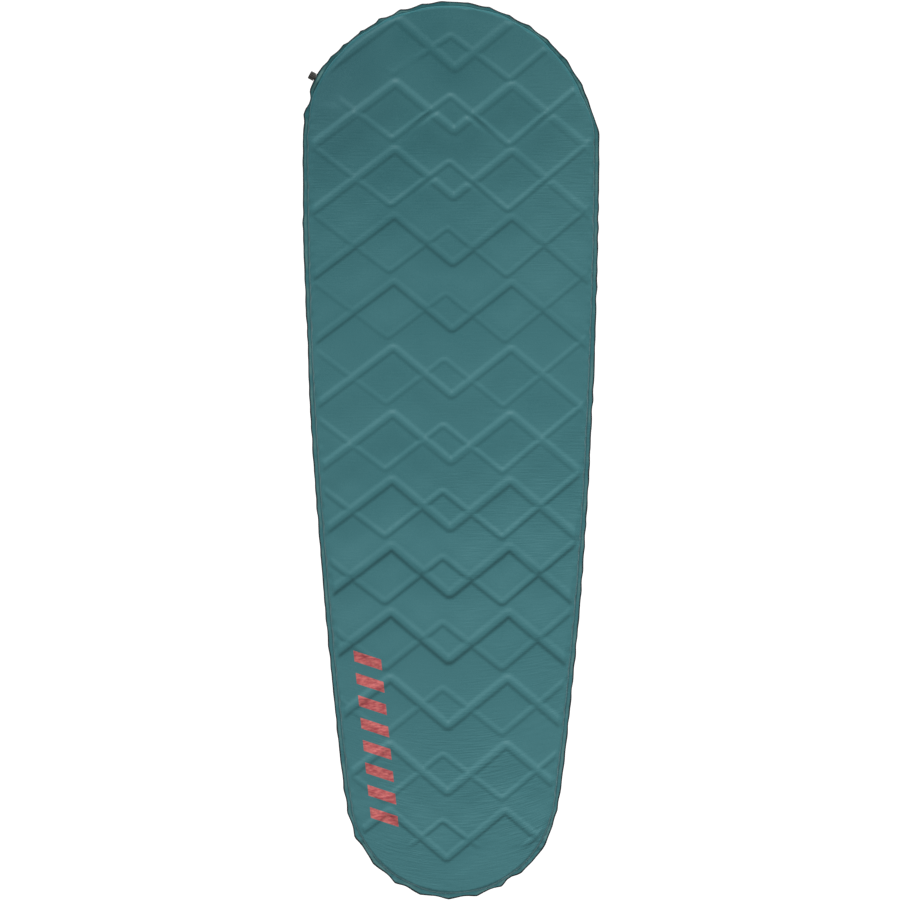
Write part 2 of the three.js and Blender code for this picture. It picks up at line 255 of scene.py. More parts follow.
def ridge_relief(x, y):
    """Height of the crossing ridges above the flat."""
    ridges, slopes = np.zeros_like(x), np.zeros_like(x)
    right_arm = ease(*OUTER_ARM, x)
    q_place = second_zigzag_share(x, y)
    for row in range(-1, LAST_ROW + 1):
        p, q = row_lines(row)
        p_size = ridge_size(row)
        q_size = [Q_SLENDER * size for size in p_size]
        p_share = 0.68 if row < 0 else 1 - (0.38 - 0.033 * row) * right_arm
        q_share = (0.85 + 0.22 * math.cos(2 * math.pi * (row - 6) / 5.3)) * q_place
        if row < 0:  # one arm of the row at the head is nearly worn away
            q_share = q_share * (1 - 0.85 * np.exp(-(((x + 84 * MM) / (19 * MM)) ** 2)))
        above_p, above_q = above_line(x, y, p), above_line(x, y, q)
        # where they cross, one runs on and the other is interrupted on the foot side of it
        q_leads = ease(-125 * MM, -100 * MM, x) * (row in CUT_ROWS)
        p_share = p_share * (1 - q_leads * below(above_q, CUT))
        q_share = q_share * (1 - 0.45 * (1 - q_leads) * below(above_p, DIP))
        for above, crest_half, size, share in (
                (above_p, CREST_HALF, p_size, p_share),
                (above_q, Q_SLENDER * CREST_HALF, q_size, q_share)):
            height, slope = ridge(above, crest_half, *size)
            ridges = (ridges**CROSSING_POWER + (height * share) ** CROSSING_POWER) ** (1 / CROSSING_POWER)
            slopes = slopes + slope * share
    return (ridges + slopes) * ease(RIM, RIM + 8 * MM, edge_distance(x, y))


def waves(x, y, count, shortest, longest, seed, stretch=1.0):
    """Seeded sum of plane waves, about -1 to 1; stretch makes them run across the pad."""
    draw = np.random.default_rng(seed)
    total = np.zeros_like(x)
    for _ in range(count):
        angle = draw.uniform(0, math.pi)
        length = math.exp(draw.uniform(math.log(shortest), math.log(longest)))
        phase = draw.uniform(0, 2 * math.pi)
        ahead = x * math.cos(angle) / stretch + y * math.sin(angle)
        total += np.cos(2 * math.pi * ahead / length + phase)
    return total / math.sqrt(count)


def crease_share(x, y):
    """Where the coated fabric keeps fine creases from being rolled: the right side, and the foot."""
    patches = ease(0.1, 1.1, waves(x, y, 9, 0.12, 0.4, seed=3))
    right = ease(0.0, 0.12, x) * ease(-0.75, -0.55, -np.abs(y - 0.05))
    return np.clip(patches * (0.25 + 0.6 * right) + 0.8 * ease(0.5, 0.68, -y), 0, 1)


def base_height(x, y):
    """Height of the outer top surface inside the rim, before its ridges and creases."""
    inset = edge_distance(x, y)
    swell = 0.25 * MM * waves(x, y, 10, 0.07, 0.25, seed=11) * ease(*CREASE_FREE, inset)
    return TOP - FLAT_DROP + 0.8 * MM * ease(22 * MM, 75 * MM, inset) + swell


def fine_relief(x, y):
    """Height of the ridges and of the fine creases, which run across the pad."""
    inside = ease(*CREASE_FREE, edge_distance(x, y))
    creases = CREASE_HEIGHT * waves(x, y, 40, 0.0065, 0.016, seed=5, stretch=4) * crease_share(x, y)
    return ridge_relief(x, y) + creases * inside


# ---- Rim: rounded side, weld and puckers ----

def ends_share(y):
    """1 on the round head and foot, where the flange puckers, and little on the sides."""
    return np.clip(0.16 + 0.75 * ease(0.60, 0.80, y) + 0.7 * ease(0.66, 0.80, -y), 0, 1)


def around(s, count, shortest, longest, seed):
    """Seeded waves along the outline that meet themselves at the end of the loop."""
    draw = np.random.default_rng(seed)
    total = np.zeros_like(s)
    for _ in range(count):
        length = draw.uniform(shortest, longest)
        turns = round(outline.length / length)
        total += np.cos(2 * math.pi * turns * s / outline.length + draw.uniform(0, 2 * math.pi))
    return total / math.sqrt(count)


def along(s, centre):
    """Signed distance along the outline from centre."""
    half = outline.length / 2
    return np.mod(s - centre + half, outline.length) - half


def pucker(s):
    """The broad waves in which the edge puckers, about -1 to 1."""
    return around(s, 7, 0.075, 0.13, seed=661)


KINK_S = outline.left_at(682 * MM)  # a corner of the flange stands out there
KINK_OUT, KINK_REACH = 3.4 * MM, 16 * MM
MOST_INWARD = -6.5 * MM  # the cut edge stays outside the weld's inner side
SMOOTH_BY_VALVE = (24 * MM, 42 * MM)  # along the edge: smooth before, as uneven as elsewhere after
PUCKER_LIMIT = 1.2  # the fold behind a pucker grows no further than this
BEAD_INSIDE = 1.5 * MM  # from the weld's inner side to the top of the bead
BEAD_WIDTH = 1.3 * MM
WALL_POWER = 2.3  # of the superellipse that the rounded side follows
# Where the flange was cut or curls unevenly: X and Y, how far it stands out, and how far round, in mm
UNEVEN = [(20, 915, -1.6, 250), (-205, 840, -4.2, 50), (292, 692, -3.6, 30), (132, 884, -1.8, 24),
          (-294, 712, -2.5, 16), (-75, -900, 2.6, 90), (-200, -778, 1.4, 26), (122, -879, -3.6, 16),
          (214, -750, -2, 50), (-299, 440, 1.6, 60), (-293, 205, -1.8, 60), (290, 150, 1.1, 60)]


def edge_shift(s, y):
    """How far the cut edge stands out from the smooth outline."""
    wave = pucker(s)
    x = outline.at(s)[0]
    uneven = sum(MM * out * np.exp(-((x - MM * at_x) ** 2 + (y - MM * at_y) ** 2) / (MM * reach) ** 2)
                 for at_x, at_y, out, reach in UNEVEN)
    small = 0.4 * around(s, 6, 0.02, 0.06, seed=2045)
    scallop = MM * (ends_share(y) * (0.9 - 3.4 * np.abs(wave)) - 0.9 + small)
    kink = KINK_OUT * np.clip(1 - np.abs(along(s, KINK_S)) / KINK_REACH, 0, 1) ** 1.3
    pulled = -0.5 * MM * np.exp(-((along(s, (KINK_S + VALVE_S) / 2) / (30 * MM)) ** 2))
    off_valve = ease(*SMOOTH_BY_VALVE, np.abs(along(s, VALVE_S)))
    return off_valve * np.maximum(scallop + kink + pulled + uneven, MOST_INWARD)


def valve_opening(s):
    """Extra height at mid-edge, where the sheets open round the valve's base."""
    share = np.clip(np.abs(along(s, VALVE_S)) / VALVE_SPREAD, 0, 1)
    return VALVE_BULGE * np.cos(share * math.pi / 2) ** 2


TOP_RISE = TOP - FLAT_DROP - MID
BOTTOM_RISE = MID - GROUND - 0.1 * MM
# The faces of each sheet: the inset where its rounded side starts, its heights from mid-edge on
# the weld and on the flat, and the height of the bead along the weld
TOP_OUTER = (FLANGE, JOIN + SHEET, TOP_RISE, 0.45 * MM)
TOP_INNER = (FLANGE + SHEET, JOIN, TOP_RISE - SHEET, 0)
BOTTOM_OUTER = (FLANGE, JOIN + SHEET, BOTTOM_RISE, 0.45 * MM)
BOTTOM_INNER = (FLANGE + SHEET, JOIN, BOTTOM_RISE - SHEET, 0)


def rim_point(s, inset, side, face, proud=0.0):
    """Points of one face of a sheet at that inset; side is 1 above the weld and -1 below it, and
    proud is how far the cut edge stands out past the other sheet's."""
    x, y, nx, ny = outline.at(s)
    start, low, high, bead = face
    ends = ends_share(y)
    wave = pucker(s)
    on_flange = 1 - ease(0, FLANGE + 2 * MM, inset)
    out = -inset + on_flange * edge_shift(s, y) + proud * (1 - ease(0, 3 * MM, inset))
    climb = np.clip((inset - start) / (RIM - start), 0, 1)
    wall = (1 - (1 - climb) ** WALL_POWER) ** (1 / WALL_POWER)
    height = low + wall * (high - low) + valve_opening(s) * (1 - wall)
    height = height + bead * np.exp(-(((inset - FLANGE + BEAD_INSIDE) / BEAD_WIDTH) ** 2))
    fold = np.sin(np.clip(inset / RIM, 0, 1) * math.pi)
    out = out - 0.9 * MM * ends * np.clip(wave, -PUCKER_LIMIT, PUCKER_LIMIT) * fold
    height = height + 0.5 * MM * ends * wave * fold * wall
    curl = 1.1 * around(s, 6, 0.03, 0.07, seed=33) + 0.35 * around(s, 9, 0.009, 0.02, seed=4)
    lift = MM * ends * curl * (1 - wall)
    return np.stack([x + nx * out, y + ny * out, MID + side * height + lift], axis=1)


# ---- Mesh of a sheet: an even grid inside the rim, and rings from it to the edge ----

def finer(values, factor, axis, closed=False):
    """Smoothly interpolated values, factor times as many along one axis."""
    v = np.moveaxis(values, axis, 0)
    count = len(v)
    t = np.arange(count * factor if closed else (count - 1) * factor + 1) / factor
    first = np.minimum(t.astype(int), count - 1 if closed else count - 2)
    share = (t - first).reshape((-1,) + (1,) * (v.ndim - 1))

    def at(step):
        return v[(first + step) % count] if closed else v[np.clip(first + step, 0, count - 1)]

    a, b, c, d = at(-1), at(0), at(1), at(2)
    bend = 2 * a - 5 * b + 4 * c - d + share * (3 * (b - c) + d - a)
    return np.moveaxis(b + 0.5 * share * (c - a + share * bend), 0, axis)


def rim_inset(s):
    return np.full_like(s, RIM)


class Field:
    """A grid of rows and columns whose border follows the outline at an inset."""

    def __init__(self, rows, columns, inset_at=rim_inset, inner=None):
        self.rows, self.columns = rows, columns
        corner = [outline.facing(a) for a in (-45, 45, 135, 225)]
        corner[0] -= outline.length
        ends = corner + [corner[0] + outline.length]
        counts = [rows, columns, rows, columns]
        self.loop_s = np.concatenate(
            [np.linspace(a, b, n, endpoint=False) for a, b, n in zip(ends, ends[1:], counts)])
        right = [self.index(j, columns) for j in range(rows)]
        head = [self.index(rows, i) for i in range(columns, 0, -1)]
        left = [self.index(j, 0) for j in range(rows, 0, -1)]
        foot = [self.index(0, i) for i in range(columns)]
        self.loop = np.array(right + head + left + foot)
        self.inset_at = inset_at
        x, y, nx, ny = outline.at(self.loop_s)
        inset = inset_at(self.loop_s)
        flat = np.zeros(((rows + 1) * (columns + 1), 2))
        flat[self.loop] = np.stack([x - nx * inset, y - ny * inset], axis=1)
        self.grid = flat.reshape(rows + 1, columns + 1, 2)
        self.grid[1:-1, 1:-1] = (self._relaxed() if inner is None else inner)[1:-1, 1:-1]

    def index(self, j, i):
        return j * (self.columns + 1) + i

    def _relaxed(self):
        grid = self.grid.copy()
        v = np.linspace(0, 1, self.rows + 1)[:, None, None]
        u = np.linspace(0, 1, self.columns + 1)[None, :, None]
        corners = ((1 - u) * (1 - v) * grid[0, 0] + u * (1 - v) * grid[0, -1]
                   + (1 - u) * v * grid[-1, 0] + u * v * grid[-1, -1])
        grid = (1 - v) * grid[:1] + v * grid[-1:] + (1 - u) * grid[:, :1] + u * grid[:, -1:] - corners
        grid[[0, -1]], grid[:, [0, -1]] = self.grid[[0, -1]], self.grid[:, [0, -1]]
        for _ in range(300):
            grid[1:-1, 1:-1] = (grid[:-2, 1:-1] + grid[2:, 1:-1] + grid[1:-1, :-2] + grid[1:-1, 2:]) / 4
        return grid

    def refined(self, factor):
        inner = finer(finer(self.grid, factor, 0), factor, 1)
        return Field(self.rows * factor, self.columns * factor, self.inset_at, inner)

    def quads(self):
        j, i = np.meshgrid(np.arange(self.rows), np.arange(self.columns), indexing="ij")
        a = self.index(j, i).ravel()
        return np.stack([a, a + 1, a + self.columns + 2, a + self.columns + 1], axis=1)


FAR_INSET = 1.0  # marks the points of a hidden inner face


class Shell:
    """A closed mesh gathered part by part; every new ring lies further along the skin."""

    def __init__(self):
        self.points, self.faces, self.insets, self.count = [], [], [], 0
        self.before = None

    def add(self, points, inset):
        first = self.count
        self.points.append(points)
        self.insets.append(np.full(len(points), inset))
        self.count += len(points)
        return first

    def grid(self, field, points, closing=False):
        quads = field.quads() + self.add(points, FAR_INSET if closing else RIM)
        self.faces += (quads[:, ::-1] if closing else quads).tolist()
        return field.loop + self.count - len(points)

    def start(self, field, points):
        self.before = self.grid(field, points)

    def ring(self, points, inset):
        loop = self.add(points, inset) + np.arange(len(points))
        self.join(self.before, loop)
        self.before = loop

    def join(self, first, second):
        """Faces between two loops, the second a whole number of times coarser or equal."""
        walk = first.reshape(len(second), -1).T
        order = [walk[0], second, np.roll(second, -1), np.roll(walk[0], -1), *walk[:0:-1]]
        self.faces += np.stack(order, axis=1).tolist()

    def finish(self, field, points):
        self.join(self.before, self.grid(field, points, closing=True))

    def piece(self, name, flip=False):
        faces = [face[::-1] for face in self.faces] if flip else self.faces
        piece = mesh_object(name, np.concatenate(self.points), faces)
        inset = piece.data.attributes.new("inset", "FLOAT", "POINT")
        inset.data.foreach_set("value", np.concatenate(self.insets).astype(np.float32))
        return piece


def mesh_object(name, points, faces):
    mesh = bpy.data.meshes.new(name)
    mesh.from_pydata(np.asarray(points, float).tolist(), [], faces)
    mesh.update()
    mesh.shade_smooth()
    piece = bpy.data.objects.new(name, mesh)
    bpy.context.scene.collection.objects.link(piece)
    return piece


# ---- Cloth simulation of the top sheet ----

SIM_INSETS = [13.2 * MM, 11.8 * MM, 10.3 * MM, FLANGE]
SIM_FRAMES = 20
SIM_GROWTH = 0.006  # the sheet is a little larger than the foam, so that it puckers
SIM_PRESSURE = 4
SIM_SMOOTHING = 6
SIM_STIFFNESS = 4  # against bending
MOVE_CAP = 1.6 * MM
MOST_SUNK = -0.2 * MM  # nothing moves further down than this
CHANNEL_FROM = 0.3 * MM  # height of a ridge from which the foam below has a channel
BONDED, OVER_CHANNEL, WELDED = 0.7, 0.08, 1.0  # how firmly each point is held


def cloth_points(piece):
    """Steps the simulation and returns where every point has gone."""
    scene = bpy.context.scene
    for frame in range(1, SIM_FRAMES + 1):
        scene.frame_set(frame)
    final = piece.evaluated_get(bpy.context.evaluated_depsgraph_get())
    found = np.empty(3 * len(final.data.vertices))
    final.data.vertices.foreach_get("co", found)
    scene.frame_set(1)
    return found.reshape(-1, 3)


def simulated(piece, held):
    """Swells the piece under pressure, each point held as firmly as its weight says."""
    group = piece.vertex_groups.new(name="held")
    for weight in np.unique(held):
        group.add(np.flatnonzero(held == weight).tolist(), float(weight), "REPLACE")
    cloth = piece.modifiers.new("cloth", "CLOTH").settings
    cloth.vertex_group_mass = "held"
    cloth.pin_stiffness = 1
    cloth.shrink_min = -SIM_GROWTH
    cloth.bending_stiffness = SIM_STIFFNESS
    cloth.use_pressure = True
    cloth.uniform_pressure_force = SIM_PRESSURE
    cloth.effector_weights.gravity = 0
    return cloth_points(piece)


def top_moves(field):
    """How far the simulation moves the top sheet, on the grid and on the rings down to the weld."""
    x, y = field.grid.reshape(-1, 2).T
    trial = Shell()
    trial.start(field, np.stack([x, y, base_height(x, y)], axis=1))
    for inset in SIM_INSETS:
        trial.ring(rim_point(field.loop_s, inset, 1, TOP_OUTER), inset)
    start = np.concatenate(trial.points)
    held = np.zeros(len(start))
    held[:len(x)] = np.where(ridge_relief(x, y) > CHANNEL_FROM, OVER_CHANNEL, BONDED)
    held[-len(field.loop):] = WELDED
    piece = trial.piece("trial")
    moved = simulated(piece, held) - start
    bpy.data.objects.remove(piece)
    size = np.linalg.norm(moved, axis=1, keepdims=True)
    moved *= MOVE_CAP * np.tanh(size / MOVE_CAP) / np.maximum(size, 1e-9)
    on_grid, on_rings = moved[:len(x)], moved[len(x):]
    on_grid[:, 2] = np.maximum(on_grid[:, 2], MOST_SUNK)
    rings = np.concatenate([on_grid[field.loop], on_rings]).reshape(-1, len(field.loop), 3)
    return relaxed(on_grid.reshape(field.grid.shape[:2] + (3,))), rings


def relaxed(moves):
    """The moves inside the border, smoothed, so that no crease is as fine as the grid's own cells."""
    for _ in range(SIM_SMOOTHING):
        mean = (moves[:-2, 1:-1] + moves[2:, 1:-1] + moves[1:-1, :-2] + moves[1:-1, 2:]) / 4
        moves[1:-1, 1:-1] = (moves[1:-1, 1:-1] + mean) / 2
    return moves


def ring_move(rings, inset):
    """The simulated movement at that inset, between the rings that were simulated."""
    known = np.array([RIM] + SIM_INSETS)[::-1]
    upper = np.clip(np.searchsorted(known, inset), 1, len(known) - 1)
    share = np.clip((inset - known[upper - 1]) / (known[upper] - known[upper - 1]), 0, 1)
    return (1 - share) * rings[::-1][upper - 1] + share * rings[::-1][upper]


# ---- Cover sheets and foam ----

# Insets in mm of a sheet's rings: over its outer face to the edge, and back along its inner face
OUTER_ROWS = [14, 13, 12.1, 11.3, 10.6, 10.1, 9.6, 9.25, 9, 8.6, 7.8, 6.5, 4.5, 2.5, 1, 0]
INNER_ROWS = [0.3, 3, 7, 9.6, 10, 10.6, 11.4, 12.5, 13.8]
FOAM_FLAT = 18.5 * MM  # inset where the foam's rounded side ends
FOAM_EDGE = 12.6 * MM
FOAM_GAP = 0.6 * MM
FOAM_CHANNEL = 2.2  # depth of a channel beside the height of the ridge above it
NOTCH_DEPTH = 25 * MM  # the foam's cut for the valve inlet, past its own edge
NOTCH_SIDE = (9 * MM, 22 * MM)  # along the edge: full depth before, no cut after


def with_height(field, height, moves=0.0):
    """Points of the grid at the given heights, or at one height."""
    grid = field.grid.reshape(-1, 2)
    return np.column_stack([grid, np.broadcast_to(height, len(grid))]) + moves


def make_top_sheet(field):
    moves, rings = top_moves(field)
    fine = field.refined(FINE)
    fine_moves = finer(finer(moves, FINE, 0), FINE, 1).reshape(-1, 3)
    fine_rings = finer(rings, FINE, 1, closed=True)
    x, y = fine.grid.reshape(-1, 2).T
    sheet = Shell()
    sheet.start(fine, with_height(fine, base_height(x, y) + fine_relief(x, y), fine_moves))
    for rows, face in ((OUTER_ROWS, TOP_OUTER), (INNER_ROWS, TOP_INNER)):
        for inset in rows:
            place = rim_point(fine.loop_s, inset * MM, 1, face) + ring_move(fine_rings, inset * MM)
            sheet.ring(place, inset * MM)
    x, y = field.grid.reshape(-1, 2).T
    sheet.finish(field, with_height(field, base_height(x, y) - SHEET, moves.reshape(-1, 3)))
    return sheet.piece("top_sheet")


def make_bottom_sheet(field):
    fine = field.refined(2)
    proud = (1.5 + 0.4 * around(fine.loop_s, 6, 0.03, 0.1, seed=44)) * MM
    sheet = Shell()
    sheet.start(fine, with_height(fine, MID - BOTTOM_RISE))
    for rows, face in ((OUTER_ROWS, BOTTOM_OUTER), (INNER_ROWS, BOTTOM_INNER)):
        for inset in rows:
            sheet.ring(rim_point(fine.loop_s, inset * MM, -1, face, proud), inset * MM)
    sheet.finish(field, with_height(field, MID - BOTTOM_RISE + SHEET))
    return sheet.piece("bottom_sheet", flip=True)


def foam_inset(s, inset=FOAM_FLAT):
    """Inset of the foam at distance s, deeper at the notch for the valve."""
    return inset + NOTCH_DEPTH * (1 - ease(*NOTCH_SIDE, np.abs(along(s, VALVE_S))))


def make_foam():
    field = Field(ROWS, COLUMNS, foam_inset)
    fine = field.refined(2)
    x, y = fine.grid.reshape(-1, 2).T
    low = MID - BOTTOM_RISE + SHEET + FOAM_GAP
    top = base_height(x, y) - SHEET - FOAM_GAP - FOAM_CHANNEL * ridge_relief(x, y)
    foam = Shell()
    foam.start(fine, with_height(fine, top))
    x, y, nx, ny = outline.at(fine.loop_s)
    border = top[fine.loop]
    for degrees in range(15, 180, 15):
        turn = math.radians(degrees)
        inset = foam_inset(fine.loop_s, FOAM_EDGE + (FOAM_FLAT - FOAM_EDGE) * (1 - math.sin(turn)))
        height = low + (border - low) * (1 + math.cos(turn)) / 2
        foam.ring(np.column_stack([x - nx * inset, y - ny * inset, height]), RIM)
    foam.finish(field, with_height(field, low))
    return foam.piece("foam_slab")


coarse = Field(ROWS, COLUMNS)
top_sheet = make_top_sheet(coarse)
bottom_sheet = make_bottom_sheet(coarse)
foam_slab = make_foam()

# ---- Valve, turned about its axis: z is outwards from the edge of the weld, in mm ----

JOINTS = {joint["name"]: joint for joint in frame["record"]["behaviour"]["joints"]}
THREAD_LEAD = 4
THREAD_START = 10.4  # height of the rib's middle at angle 0
RIB_TURN, RIB_HALF, RIB_PROUD = 60, 0.5, 0.95  # degrees, half the thickness, height
SLOT_TURN, SLOT_HALF, SLOT_DEPTH = (-282, 72), 0.95, 1.05
CAP_RADIUS = 8.5
GRIP_COUNT = 12
FLUTE_HALF, FLUTE_DEPTH = 1.25, 0.7
# Profiles as (radius, height)
CAP_PROFILE = [(5.6, 2.5), (8.05, 2.5), (CAP_RADIUS, 3), (CAP_RADIUS, 13.6), (7.5, 15), (3.45, 15),
               (2.85, 14.5), (2.85, 13.2), (5.6, 13.2), (5.6, 5), (6.95, 5), (6.95, 3.3), (5.6, 3.3)]
STEM_PROFILE = [(0, -20), (4, -20), (4.8, -16.5), (4.2, -16.4), (4.8, -13), (4.2, -12.9), (4.2, -6),
                (6, -4), (6, 2), (5.25, 2.1), (5.25, 11.8), (4.85, 12.2), (0, 12.2)]
BORE_PROFILE = [(0, -21), (2.9, -21), (2.9, 0.7), (3.5, 0.75), (3.5, 13), (0, 13)]
PIN_PROFILE = [(0, 1), (1.6, 1), (1.6, 12.6), (2.4, 12.7), (2.4, 13.2), (1.7, 13.25), (1.7, 14.15),
               (2.4, 14.2), (2.2, 14.8), (0, 14.8)]
PLUG_RING_PROFILE = [(2.5, 1), (3.2, 1), (3.2, 4), (2.5, 4)]
BASE_HALF, BASE_RISE, BASE_WAVE = 23, 6.3, 52  # the weld base: half its size, and its cosine's length
BASE_RINGS = [(-8.5, 0.93), (-8.2, 0.98), (-7.8, 1), (-1.2, 1), (-0.8, 0.98), (-0.5, 0.93)]  # (z, scale)


def valve_matrix():
    out = Vector(JOINTS["cap_turn"]["axis"]).normalized()
    up = Vector((0, 0, 1))
    turn = Matrix((up.cross(out), up, out)).transposed().to_4x4()
    return Matrix.Translation(JOINTS["cap_turn"]["pos_m"]) @ turn @ Matrix.Scale(MM, 4)


def rounded(profile, radius, step):
    """A closed profile with its corners rounded and its long sides divided."""
    points = [np.array(p, float) for p in profile]
    found = []
    for before, here, after in zip(points[-1:] + points[:-1], points, points[1:] + points[:1]):
        if here[0] == 0:
            found.append(here)
            continue
        near = [np.linalg.norm(end - here) for end in (before, after)]
        start, end = [here + (end - here) / size * min(radius, 0.4 * size)
                      for end, size in zip((before, after), near)]
        for t in (0, 0.33, 0.67, 1):
            found.append((1 - t) ** 2 * start + 2 * t * (1 - t) * here + t * t * end)
    divided = []
    for here, after in zip(found, found[1:] + found[:1]):
        pieces = max(1, math.ceil(np.linalg.norm(after - here) / step))
        divided += [here + (after - here) * k / pieces for k in range(pieces)]
    return np.array(divided)


def lathe(name, profile, sides=120, radius=0.2, step=4.0, shaped=None):
    """A closed turned piece; shaped changes its radii from the radii, heights and angles."""
    line = rounded(profile, radius, step)
    angle = np.linspace(0, 2 * math.pi, sides, endpoint=False)
    r, z = (column[:, None] + 0 * angle for column in line.T)
    if shaped:
        r = shaped(r, z, np.degrees(angle)[None, :] + 0 * r)
    points = np.stack([r * np.cos(angle), r * np.sin(angle), z], axis=2).reshape(-1, 3)
    k, i = np.meshgrid(np.arange(len(line)), np.arange(sides), indexing="ij")
    after_k, after_i = (k + 1) % len(line), (i + 1) % sides
    here, after = k * sides, after_k * sides
    faces = np.stack([here + i, here + after_i, after + after_i, after + i], axis=-1)
    return tidied(mesh_object(name, points, faces.reshape(-1, 4).tolist()))


def tidied(piece):
    """Merges the points that meet on the axis, and turns every face outwards."""
    mesh = bmesh.new()
    mesh.from_mesh(piece.data)
    bmesh.ops.remove_doubles(mesh, verts=mesh.verts, dist=1e-5)
    bmesh.ops.dissolve_degenerate(mesh, edges=mesh.edges, dist=1e-6)
    bmesh.ops.recalc_face_normals(mesh, faces=mesh.faces)
    mesh.to_mesh(piece.data)
    mesh.free()
    return piece


def combined(piece, other, operation):
    """The piece with the other joined to it or cut from it; the other is used up."""
    cut = piece.modifiers.new("cut", "BOOLEAN")
    cut.operation, cut.object, cut.solver = operation, other, "EXACT"
    result = bpy.data.meshes.new_from_object(piece.evaluated_get(bpy.context.evaluated_depsgraph_get()))
    piece.modifiers.clear()
    piece.data = result
    bpy.data.objects.remove(other)
    return piece


def placed(piece):
    piece.data.transform(valve_matrix())
    piece.data.shade_smooth()
    piece.data.set_sharp_from_angle(angle=math.radians(40))
    return piece


def on_thread(z, degrees, first, last, half_width):
    """1 on a helical band between two angles."""
    wound = np.mod(degrees - first, 360) + first
    centre = THREAD_START + THREAD_LEAD * wound / 360
    return (wound <= last) * (1 - ease(half_width, half_width + 0.25, np.abs(z - centre)))


def cap_shape(r, z, degrees):
    """Flutes round the cap's outside, and a slot in its bore for the stem's rib."""
    pitch = 360 / GRIP_COUNT
    arc = np.radians(np.abs(np.mod(degrees + pitch / 2, pitch) - pitch / 2)) * CAP_RADIUS
    flute = np.cos(np.clip(arc / FLUTE_HALF, 0, 1) * math.pi / 2) ** 2
    flute = flute * ease(3.0, 3.5, z) * ease(-14.0, -13.2, -z)
    slot = on_thread(z, degrees, *SLOT_TURN, SLOT_HALF) * ((r < 5.7) & (z > 5.3) & (z < 13))
    return r - FLUTE_DEPTH * flute * (r > 8) + SLOT_DEPTH * slot


def stem_shape(r, z, degrees):
    return r + RIB_PROUD * on_thread(z, degrees, 0, RIB_TURN, RIB_HALF) * ((r > 5) & (z > 8))


def weld_base():
    """The boat-shaped block that the sheets are welded round."""
    x = np.linspace(-BASE_HALF, BASE_HALF, 41)
    height = BASE_RISE * np.cos(math.pi * x / BASE_WAVE) ** 2
    outline_x = np.concatenate([x, x[-2:0:-1]])
    outline_y = np.concatenate([-height, height[-2:0:-1]])
    rings = [np.column_stack([outline_x * scale, outline_y * scale, np.full(len(outline_x), z)])
             for z, scale in BASE_RINGS]
    count = len(outline_x)
    loops = np.arange(len(rings) * count).reshape(-1, count)
    faces = [loops[0][::-1].tolist(), loops[-1].tolist()]
    for low, high in zip(loops, loops[1:]):
        faces += np.stack([low, np.roll(low, -1), np.roll(high, -1), high], axis=1).tolist()
    return tidied(mesh_object("weld_base", np.concatenate(rings), faces))


def ring_seal(name, radius, section, z):
    """A round rubber ring, lying round the axis at height z."""
    turn = np.linspace(0, 2 * math.pi, 24, endpoint=False)
    profile = np.column_stack([radius + section * np.cos(turn), z + section * np.sin(turn)])
    return placed(lathe(name, profile, radius=0.0))


def make_stem():
    stem = lathe("stem_detail", STEM_PROFILE, step=0.4, shaped=stem_shape)
    stem = combined(stem, weld_base(), "UNION")
    return placed(combined(stem, lathe("bore", BORE_PROFILE, radius=0.05), "DIFFERENCE"))


def make_plug():
    plug = combined(lathe("plug_detail", PIN_PROFILE), lathe("plug_ring", PLUG_RING_PROFILE), "UNION")
    for k in range(3):
        box = [(x, y, z) for z in (1, 4) for y in (-0.45, 0.45) for x in (1.2, 2.9)]
        sides = [(0, 2, 3, 1), (4, 5, 7, 6), (0, 1, 5, 4), (2, 6, 7, 3), (0, 4, 6, 2), (1, 3, 7, 5)]
        spoke = mesh_object("spoke", np.array(box), sides)
        spoke.data.transform(Matrix.Rotation(math.radians(120 * k), 4, "Z"))
        plug = combined(plug, spoke, "UNION")
    return placed(plug)


cap_detail = placed(lathe("cap_detail", CAP_PROFILE, sides=144, radius=0.25, step=0.4, shaped=cap_shape))
stem_detail = make_stem()
plug_detail = make_plug()
plug_seal = ring_seal("plug_seal", 2.2, 0.4, 13.7)
cap_gland_seal = ring_seal("cap_gland_seal", 6.1, 0.6, 4.15)


# ---- Materials ----

